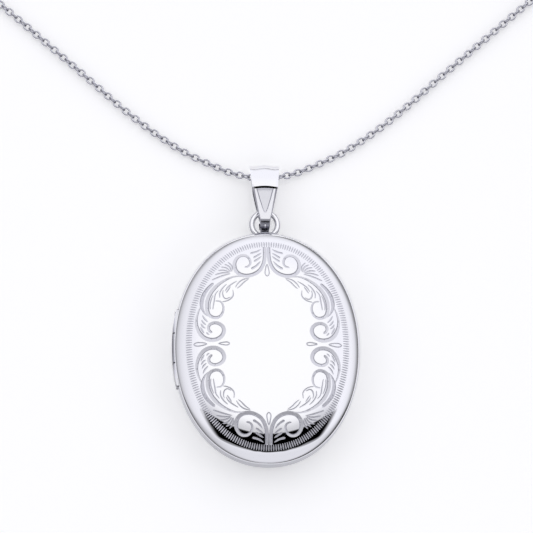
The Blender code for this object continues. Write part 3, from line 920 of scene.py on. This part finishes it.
def plain_dome():
    """A fine polished dome, as points, triangles and slots, for the back cover."""
    points = [(0.0, 0.0, TOP_Z)]
    triangles = []
    shares = [0.15, 0.3, 0.42, 0.54, 0.64, 0.72, 0.79, 0.85, 0.9, 0.94, 0.97, 1.0]
    for share in shares:
        points += [(x, y, dome_z(share)) for x, y in oval_points(share * CREASE_X, share * CREASE_Y)]
    for i in range(OVAL_SIDES):
        j = (i + 1) % OVAL_SIDES
        triangles.append((0, 1 + i, 1 + j))
        for ring in range(len(shares) - 1):
            inner, outer = 1 + ring * OVAL_SIDES, 1 + (ring + 1) * OVAL_SIDES
            triangles.append((inner + i, outer + i, outer + j))
            triangles.append((inner + i, outer + j, inner + j))
    return np.array(points), np.array(triangles), np.zeros(len(triangles), int)


def values_of(items, key, size=1, kind=np.float32):
    """One property of each of a mesh's items, as an array."""
    made = np.empty(len(items) * size, kind)
    items.foreach_get(key, made)
    return made.reshape(-1, size) if size > 1 else made


def finish_cover(bm, name, flip):
    """The cover as a mesh whose polished dome has the true surface's normals."""
    if flip:
        for vert in bm.verts:
            vert.co.z = 2 * SPLIT_Z - vert.co.z
    bmesh.ops.recalc_face_normals(bm, faces=bm.faces)
    mesh = mesh_from(bm, name, sharp=18, outward=False)
    slots = values_of(mesh.polygons, "material_index", kind=np.int32)
    mesh.polygons.foreach_set("use_smooth", (slots != 1) & (slots != 2))
    mesh.update()
    normals = values_of(mesh.corner_normals, "vector", 3)
    corner = values_of(mesh.loops, "vertex_index", kind=np.int32)
    spots = values_of(mesh.vertices, "co", 3)[corner] / MM
    totals = values_of(mesh.polygons, "loop_total", kind=np.int32)
    owner = np.repeat(np.arange(len(totals)), totals)
    z = 2 * SPLIT_Z - spots[:, 2] if flip else spots[:, 2]
    share = dome_share(spots[:, 0], spots[:, 1])
    face_share = np.zeros(len(totals))
    np.maximum.at(face_share, owner, share)
    face_low = np.full(len(totals), np.inf)
    np.minimum.at(face_low, owner, z - dome_z(share))
    on_dome = (face_share < 1.0005) & (face_low > -0.2)
    polished = (on_dome & (slots == 0))[owner]
    true = dome_normals(spots[:, 0], spots[:, 1])
    if flip:
        true[:, 2] *= -1
    normals[polished] = true[polished]
    mesh.normals_split_custom_set(normals.tolist())
    return mesh


def make_cover(name, dome, flip, materials, body, node):
    shell = cover_shell(cover_sections())
    add_dome(shell, *dome)
    piece(name, finish_cover(shell, name, flip), materials, body, node)


def make_covers():
    cut = (SILVER, CUT_SHALLOW, CUT_PAINTED_SHADE)
    make_cover("front_cover_engraved", engraved_dome(), False, cut, "cover", "front_cover")
    make_cover("back_cover_polished", plain_dome(), True, (SILVER,), "back", "back_shell")


make_covers()


# ---- hinge


def capped(radius, half, rounding, end_radius):
    """The profile of a rod whose ends are drawn in to end_radius."""
    return (end_radius, -half), (radius, -half + rounding), (radius, half - rounding), (end_radius, half)


def on_hinge(profile, middle, sides):
    """A turned solid on the hinge's axis."""
    place = Matrix.Translation((HINGE_X, middle, SPLIT_Z)) @ Matrix.Rotation(radians(90), 4, "X")
    return turned_bmesh(profile, place, sides)


def make_hinge():
    inner, outer = KNUCKLE_ENDS
    gap = KNUCKLE_GAP / 2
    spans = (
        ("hinge_knuckle_lower", -outer, -inner - gap, "back"),
        ("hinge_knuckle_middle", -inner + gap, inner - gap, "cover"),
        ("hinge_knuckle_upper", inner + gap, outer, "back"),
    )
    bore_radius = PIN_RADIUS + PIN_CLEARANCE
    for name, low, high, body in spans:
        bore = on_hinge(((bore_radius, -7), (bore_radius, 7)), 0, 32)
        profile = capped(KNUCKLE_RADIUS, (high - low) / 2, KNUCKLE_EDGE, KNUCKLE_RADIUS - KNUCKLE_EDGE)
        filed = [inset_oval(-KNUCKLE_PROUD, SPLIT_Z - 3), inset_oval(-KNUCKLE_PROUD, SPLIT_Z + 3)]
        cuts = [("DIFFERENCE", bore), ("INTERSECT", oval_loft(filed))]
        bm = cut_bmesh(on_hinge(profile, (low + high) / 2, 48), *cuts)
        piece(name + "_polished", mesh_from(bm, name), [HINGE_SILVER], body, name)
    low, high = cad_box("hinge_pin")
    half = (high[1] - low[1]) / 2
    bm = on_hinge(capped(PIN_RADIUS, half, PIN_DOME, PIN_RADIUS * PIN_END_SHARE), 0, 24)
    piece("hinge_pin_wire", mesh_from(bm, "hinge_pin_wire"), [PIN_STEEL], "back", "hinge_pin")


make_hinge()


# ---- inside


COLLAR_INSETS = (0.48, 0.78)
COLLAR_EDGE = 0.05
FRAME_INSETS = (0.86, 2.50)
FRAME_EDGE = 0.04
SHEET_EDGE = 0.03
SHEETS = (  # kind, inset from the covers' outline, material, slot
    ("window", 1.20, CLEAR, "clear_window"),
    ("photo", 1.45, CARD, "photo_card"),
)


def notched_loft(sections):
    return cut_bmesh(oval_loft(sections, closed=True, sides=120), ("DIFFERENCE", hinge_notch()))


def make_inside():
    low, high = cad_box("snap_collar")
    outer, inner = COLLAR_INSETS
    sections = [
        inset_oval(inner, low[2]),
        inset_oval(outer, low[2]),
        inset_oval(outer, high[2] - 0.25),
        inset_oval(outer + COLLAR_EDGE, high[2]),
        inset_oval(inner - COLLAR_EDGE, high[2]),
        inset_oval(inner, high[2] - COLLAR_EDGE),
    ]
    mesh = mesh_from(notched_loft(sections), "snap_collar")
    piece("snap_collar_polished", mesh, [INNER_SILVER], "back", "snap_collar")
    for half, body, turn in (("back", "back", list), ("front", "cover", over_split)):
        make_photo_stack(half, body, turn)


def make_photo_stack(half, body, turn):
    """A photo frame with its window and insert, laid out as in the back and turned over for the cover."""
    low, high = cad_box("back_photo_frame")
    outer, inner = FRAME_INSETS
    sections = [
        inset_oval(inner, low[2]),
        inset_oval(outer, low[2]),
        inset_oval(outer, high[2] - FRAME_EDGE),
        inset_oval(outer + FRAME_EDGE, high[2]),
    ]
    bevel = ((2.05, 0), (2.14, FRAME_EDGE), (2.22, 0.13), (2.38, 0.20), (2.48, 0.30), (inner, 0.36))
    sections += [inset_oval(inset, high[2] - drop) for inset, drop in bevel]
    name = half + "_photo_frame"
    mesh = mesh_from(notched_loft(turn(sections)), name, sharp=25)
    piece(name + "_polished", mesh, [INNER_SILVER], body, name)
    for kind, inset, material, slot in SHEETS:
        low, high = cad_box("back_" + kind)
        sections = [
            inset_oval(inset + SHEET_EDGE, low[2]),
            inset_oval(inset, low[2] + SHEET_EDGE),
            inset_oval(inset, high[2] - SHEET_EDGE),
            inset_oval(inset + SHEET_EDGE, high[2]),
        ]
        name = half + "_" + kind
        mesh = mesh_from(oval_loft(turn(sections), sides=120), name, sharp=25)
        piece(name + "_sheet", mesh, [material], body, name)


make_inside()


# ---- ring and bail

RING_Y = 18.99
RING_Z = 2.50
RING_RADIUS = 1.85
RING_WIRE = 0.40
BAIL_SHEET = 0.40
FOOT_HALF_WIDTH = 1.35
FOOT_THICKNESS = 0.20
FOOT_Z = (1.3, 4.0)
CURL_AT = (19.45, 2.40)
CURL_RADIUS = 1.40
BAIL_CREASE = (24.25, 4.10)
BAIL_WIDTHS = (  # (distance along Y, width) of the front leaf and, beyond the crease, of the crown
    (18.0, 1.30), (19.45, 1.55), (20.6, 2.20), (22.4, 2.98), (24.25, 3.72), (25.9, 4.06), (27.6, 4.36),
)
BAIL_CROWN = (  # (y, z) from the crease over the crown and down the back
    (24.25, 4.10), (25.45, 3.88), (26.70, 3.50), (27.45, 2.90), (27.75, 2.00), (27.45, 0.85),
    (26.40, 0.30), (24.40, 0.27), (22.40, 0.40), (20.60, 0.72), (19.45, 1.00),
)
# (distance along Y, half width of the sunk middle facet as a share of the leaf's)
FACET_SHARES = ((20.35, 0.02), (21.1, 0.27), (22.4, 0.47), (24.25, 0.64))
FACET_SINK = 0.12
BACK_NARROWING = 0.30  # the back leaf is narrower on each side
GROOVE_SHARE = 0.09
EDGE_SHARE = 0.84
EDGE_DROP = 0.22
CROWN_WAVE = 0.13  # the crown's top edge is raised in the middle and at its corners
CREASE_WAVE = 0.10  # the crease is raised in the middle
CURL_PAINTED_HIGHLIGHT = (12, 14)  # first and last row of the curl's painted highlight band, left in polished silver
LEAF_END = (0.26, 0.085)  # the leaf's flat ends this far before the crease, along Y and Z


def add_foot(bm):
    """The soldered seam between the ring and the rim: a thin strip that follows the oval, in dark metal as
    painted shade where the ring meets the rim.
    """
    steps = 16
    low, high = FOOT_Z
    rings = []
    for i in range(steps + 1):
        x = FOOT_HALF_WIDTH * (2 * i / steps - 1)
        y = HALF_LENGTH * (1 - abs(x / HALF_WIDTH) ** OVAL_POWER) ** (1 / OVAL_POWER)
        swell = FOOT_THICKNESS * (0.45 + 0.55 * sqrt(max(0.0, 1 - (x / FOOT_HALF_WIDTH) ** 2)))
        near, far = y + 0.02, y + swell
        row = ((near, low), (near, high), (far, high - 0.06), (far, low))
        rings.append([bm.verts.new((x, py, pz)) for py, pz in row])
    for lower, upper in zip(rings, rings[1:]):
        bridge(bm, lower, upper, 1)
    bm.faces.new(rings[0]).material_index = 1
    bm.faces.new(rings[-1]).material_index = 1


def make_ring():
    centre = Vector((0, RING_Y, RING_Z))
    ring = ring_points(centre, Vector((0, 1, 0)), RING_RADIUS, 72)
    bm = bmesh.new()
    add_wire_ring(bm, ring, Vector((0, 0, 1)), RING_WIRE, 20)
    seat = [inset_oval(-0.03, 0.5), inset_oval(-0.03, TOP_Z)]
    bm = cut_bmesh(bm, ("DIFFERENCE", oval_loft(seat)))
    add_foot(bm)
    mesh = mesh_from(bm, "locket_ring")
    # The foot's dark metal is painted shade where the ring sits on the rim.
    piece("locket_ring_polished", mesh, [RING_SILVER, PAINTED_SHADE_SILVER], "back", "locket_ring")


def between(table, y):
    """The table's value at y, straight between its entries and level beyond them."""
    if y <= table[0][0]:
        return table[0][1]
    for (y0, v0), (y1, v1) in zip(table, table[1:]):
        if y <= y1:
            return v0 + (v1 - v0) * (y - y0) / (y1 - y0)
    return table[-1][1]


def bail_side():
    """The band's middle line (y, z, zone): the curl, the front leaf, the crown and the back."""
    made = []
    for i in range(19):
        turn = radians(-90 - 180 * i / 18)
        y = CURL_AT[0] + CURL_RADIUS * cos(turn)
        z = CURL_AT[1] + CURL_RADIUS * sin(turn)
        made.append((y, z, "curl"))
    top_y, top_z, _ = made[-1]
    end_y, end_z = BAIL_CREASE[0] - LEAF_END[0], BAIL_CREASE[1] - LEAF_END[1]
    for i in range(1, 25):
        t = i / 24
        made.append((top_y + (end_y - top_y) * t, top_z + (end_z - top_z) * t, "leaf"))
    made.append((*BAIL_CREASE, "step"))
    crown = smooth_line([(y, z, 0) for y, z in BAIL_CROWN], 5)
    made += [(p.x, p.y, "crown") for p in crown[1:-1]]
    return made


def bail_row(y, z, zone, out):
    """The band's section at one place: two points on its inside, then eleven along its outside."""
    half = bail_half_width(y)
    if zone == "crown":
        half -= BACK_NARROWING * min(1.0, max(0.0, (2.6 - z) / 1.6))
    shares = facet_columns(y)
    made = [(-0.97 * half, -BAIL_SHEET / 2), (0.97 * half, -BAIL_SHEET / 2)]
    for share in reversed(shares):
        x = share * half
        lift = BAIL_SHEET / 2
        if abs(share) > 0.99:
            lift -= EDGE_DROP if zone != "crown" else 0.05
        if zone == "leaf" and y > FACET_SHARES[0][0] and abs(share) <= abs(shares[3]) + 1e-6:
            to_crease = BAIL_CREASE[0] - LEAF_END[0] - y
            sunk = min(1.0, (y - FACET_SHARES[0][0]) / 0.5, max(0.0, to_crease / 0.25))
            lift -= FACET_SINK * sunk
        made.append((x, lift))
    points = []
    for x, lift in made:
        across = x / half
        shift = 0.0
        if zone in ("step", "leaf") and y > 23.4:
            shift = CREASE_WAVE * (1 - (x / (0.64 * half)) ** 2) * (y - 23.4) / 0.85
            shift = max(shift, -0.04)
        if zone == "crown" and z > 1.0 and y > 26.0:
            shift = CROWN_WAVE * cos(2 * pi * across * 0.78) * (y - 26.0) / 1.75
        points.append(Vector((x, y + shift, z)) + out * lift)
    return points


def bail_half_width(y):
    return between(BAIL_WIDTHS, y) / 2


def facet_columns(y):
    facet = between(FACET_SHARES, y)
    groove = min(facet + GROOVE_SHARE, EDGE_SHARE - 0.02)
    return (-1.0, -EDGE_SHARE, -groove, -facet, -facet / 2, 0.0, facet / 2, facet, groove, EDGE_SHARE, 1.0)


def bail_slot(zone, k, y, row):
    """The slot of one face of the band: 0 polished, 1 middle facet, 2 its frame, 3 dark edges in painted
    shade, 4 the curl in painted shade.
    """
    column = k - 2  # faces from one long edge to the other along the outside are columns 0 to 9
    # The curl is painted shade, except for a band of rows left polished as a painted highlight.
    if zone == "curl" and row > 5:
        return 0 if CURL_PAINTED_HIGHLIGHT[0] <= row <= CURL_PAINTED_HIGHLIGHT[1] and 2 <= column <= 7 else 4
    # The leaf's long edges and the grooves around its facet are painted dark lines of shade.
    if zone == "leaf" and column in (-1, 0, 9, 10):
        return 3
    if zone != "leaf" or not 0 <= column <= 9:
        return 0
    if y < FACET_SHARES[0][0]:
        return 2
    if column in (2, 7):
        return 3
    return 1 if 3 <= column <= 6 else 2


def make_bail():
    """The folded bail: a band whose front leaf has a sunk middle facet in a frame that narrows to a point."""
    line = bail_side()
    bm = bmesh.new()
    rows = []
    for i, (y, z, zone) in enumerate(line):
        ahead, behind = line[(i + 1) % len(line)], line[i - 1]
        along = Vector((0, ahead[0] - behind[0], ahead[1] - behind[1])).normalized()
        out = Vector((0, -along.z, along.y))
        rows.append([bm.verts.new(p) for p in bail_row(y, z, zone, out)])
    for i, lower in enumerate(rows):
        j = (i + 1) % len(rows)
        upper = rows[j]
        y_mid = (line[i][0] + line[j][0]) / 2
        zone = line[j][2] if j else "crown"
        for k in range(len(lower)):
            n = (k + 1) % len(lower)
            face = bm.faces.new((lower[k], lower[n], upper[n], upper[k]))
            face.material_index = bail_slot(zone, k, y_mid, i)
    mesh = mesh_from(bm, "bail", sharp=9)
    materials = [SILVER, SATIN, FRAME_SILVER, CUT_PAINTED_SHADE, PAINTED_SHADE_SILVER]
    piece("bail_faceted", mesh, materials, "bail", "bail")


make_ring()
make_bail()


# ---- studio

STUDIO_WHITE = 1.06
# The dark flag over the camera: slopes from the zenith toward the viewer
FLAG_NEAR = (0.12, 0.145)
FLAG_FAR = (0.52, 0.60)
FLAG_HAZE = (0.58, 0.66)
FLAG_LEFT = (0.66, 0.90)
FLAG_RIGHT = (0.90, 1.20)
HAZE = 0.70
FRINGE = 0.34
FRINGE_START = -0.05
# How much darker the studio gets toward each side, and between which slopes (heights for the horizon)
HORIZON_DARKENING = 0.36
HORIZON_SPAN = (0.03, 0.40)
RIGHT_DARKENING = 0.46
RIGHT_SPAN = (1.0, 3.5)
LEFT_DARKENING = 0.34
LEFT_SPAN = (0.2, 2.6)
NEAR_DARKENING = 0.20
NEAR_SPAN = (0.30, 0.85)
TINT = (0.92, 0.92, 0.975, 1.0)
TINT_CENTRE = 0.35  # the slope toward the far side around which the light is pure white
TINT_SPAN = (0.12, 0.75)


def make_world():
    """A white studio: bright overhead, greyer at the sides and horizon, with a dark flag by the camera."""
    world = bpy.data.worlds.new("studio")
    bpy.context.scene.world = world
    world.use_nodes = True
    tree = world.node_tree
    shade = tree.nodes["Background"]
    place = add_node(tree, "TexCoord")
    apart = add_node(tree, "SeparateXYZ")
    tree.links.new(place.outputs["Generated"], apart.inputs["Vector"])
    x, y, z = apart.outputs
    times = partial(node_math, tree, "MULTIPLY")
    plus = partial(node_math, tree, "ADD")
    most = partial(node_math, tree, "MAXIMUM")
    rest = partial(node_math, tree, "SUBTRACT", 1.0)

    def begun(value, span):
        return soft_step(tree, value, *span)

    def gone(value, span):
        return rest(begun(value, span))

    height = most(z, 0.02)
    rightward = node_math(tree, "DIVIDE", x, height)
    farther = node_math(tree, "DIVIDE", y, height)
    toward = times(farther, -1.0)
    leftward = times(rightward, -1.0)
    black = times(begun(toward, FLAG_NEAR), gone(toward, FLAG_FAR))
    haze = times(times(begun(toward, FLAG_NEAR), gone(toward, FLAG_HAZE)), HAZE)
    rising = begun(toward, (FRINGE_START, FLAG_NEAR[0]))
    fringe = times(times(rising, gone(toward, FLAG_HAZE)), FRINGE)
    ends = times(gone(leftward, FLAG_LEFT), gone(rightward, FLAG_RIGHT))
    flag = times(most(black, most(haze, fringe)), ends)
    low = times(gone(z, HORIZON_SPAN), HORIZON_DARKENING)
    left = times(begun(leftward, LEFT_SPAN), LEFT_DARKENING)
    right = times(begun(rightward, RIGHT_SPAN), RIGHT_DARKENING)
    near = times(begun(toward, NEAR_SPAN), NEAR_DARKENING)
    light = times(rest(plus(low, plus(left, plus(right, near)))), rest(flag))
    upward = node_math(tree, "SUBTRACT", farther, TINT_CENTRE)
    squares = [node_math(tree, "POWER", slope, 2.0) for slope in (rightward, upward)]
    away = node_math(tree, "SQRT", plus(*squares))
    tint = add_node(tree, "Mix")
    tint.data_type = "RGBA"
    set_inputs(tint, A=(1.0, 1.0, 1.0, 1.0), B=TINT)
    tree.links.new(begun(away, TINT_SPAN), tint.inputs["Factor"])
    tree.links.new(tint.outputs["Result"], shade.inputs["Color"])
    tree.links.new(times(light, STUDIO_WHITE), shade.inputs["Strength"])


FLOOR_GLOW = 0.30


def make_floor():
    bm = bmesh.new()
    bmesh.ops.create_grid(bm, x_segments=8, y_segments=8, size=6000.0)
    mesh = mesh_from(bm, "floor", sharp=0, outward=False)
    material = bpy.data.materials.new("white_floor")
    material.use_nodes = True
    shader = material.node_tree.nodes["Principled BSDF"]
    set_inputs(shader, Base_Color=(0.97, 0.97, 0.97, 1.0), Roughness=0.9, Specular_IOR_Level=0.1)
    set_inputs(shader, Emission_Color=(1.0, 1.0, 1.0, 1.0), Emission_Strength=FLOOR_GLOW)
    floor = new_mesh_object("floor", mesh, material)
    floor.location.z = -0.00002


make_world()
make_floor()
bpy.context.scene.view_settings.view_transform = "Standard"
